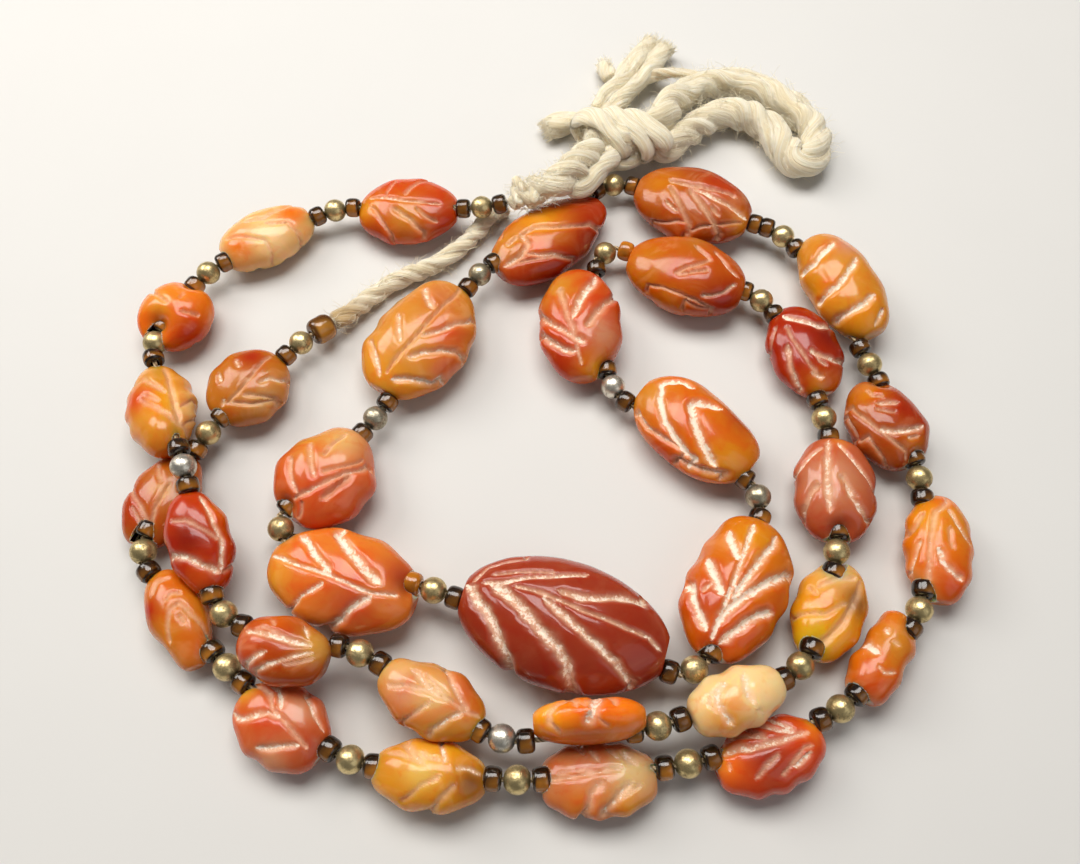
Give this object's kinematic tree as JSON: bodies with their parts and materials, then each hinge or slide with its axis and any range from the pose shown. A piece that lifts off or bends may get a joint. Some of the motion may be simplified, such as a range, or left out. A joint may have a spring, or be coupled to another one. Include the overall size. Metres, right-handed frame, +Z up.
{
  "type": "bead necklace",
  "caption": "Strand of leaf-carved carnelian beads with brass and brown glass spacer beads, lying in two turns, closed by a cotton cord with a knot and loop.",
  "frame": {"origin": "on the surface that the necklace lies on, under the middle of the beads' box", "axes": "+X to the right and +Y away from the viewer of the picture, +Z up; the necklace lies on the XY plane"},
  "size_m": [0.1287, 0.1399, 0.0119],
  "materials": {
    "carnelian_pale": "polished, peach coloured, cloudy",
    "carnelian_amber": "polished, amber coloured, translucent",
    "carnelian_orange": "polished, orange, with pale dust in the grooves",
    "carnelian_red": "polished, orange red, translucent at the edges",
    "carnelian_maroon": "polished, dark red brown",
    "brass": "worn and tarnished, rubbed bright on top",
    "brown_glass": "glossy dark brown",
    "amber_glass": "glossy amber",
    "thread": "thin twisted thread",
    "cotton": "soft undyed cotton, loosely twisted, fuzzy"
  },
  "bodies": {
    "root": {"bead_01": "carnelian_red", "bead_02": "carnelian_pale", "bead_03": "carnelian_orange", "bead_04": "carnelian_amber", "bead_05": "carnelian_maroon", "bead_06": "carnelian_amber", "bead_07": "carnelian_orange", "bead_08": "carnelian_orange", "bead_09": "carnelian_pale", "bead_10": "carnelian_amber", "bead_11": "carnelian_maroon", "bead_12": "carnelian_red", "bead_13": "carnelian_orange", "bead_14": "carnelian_red", "bead_15": "carnelian_orange", "bead_16": "carnelian_orange", "bead_17": "carnelian_maroon", "bead_18": "carnelian_red", "bead_19": "carnelian_red", "bead_20": "carnelian_amber", "bead_21": "carnelian_red", "bead_22": "carnelian_orange", "bead_23": "carnelian_orange", "bead_24": "carnelian_red", "bead_25": "carnelian_orange", "bead_26": "carnelian_orange", "bead_27": "carnelian_maroon", "bead_28": "carnelian_red", "bead_29": "carnelian_amber", "bead_30": "carnelian_red", "bead_31": "carnelian_orange", "bead_32": "carnelian_red", "bead_33": "carnelian_orange", "brass_spacers": "brass", "glass_spacers": "brown_glass", "end_bead": "amber_glass", "thread": "thread", "cotton_tail": "cotton", "cotton_stem": "cotton", "cotton_side_strand": "cotton", "cotton_knot": "cotton", "cotton_loop": "cotton", "cotton_double_end": "cotton", "cotton_frayed_end": "cotton", "cotton_short_end": "cotton", "cotton_thin_strand": "cotton"}
  },
  "joints": []
}
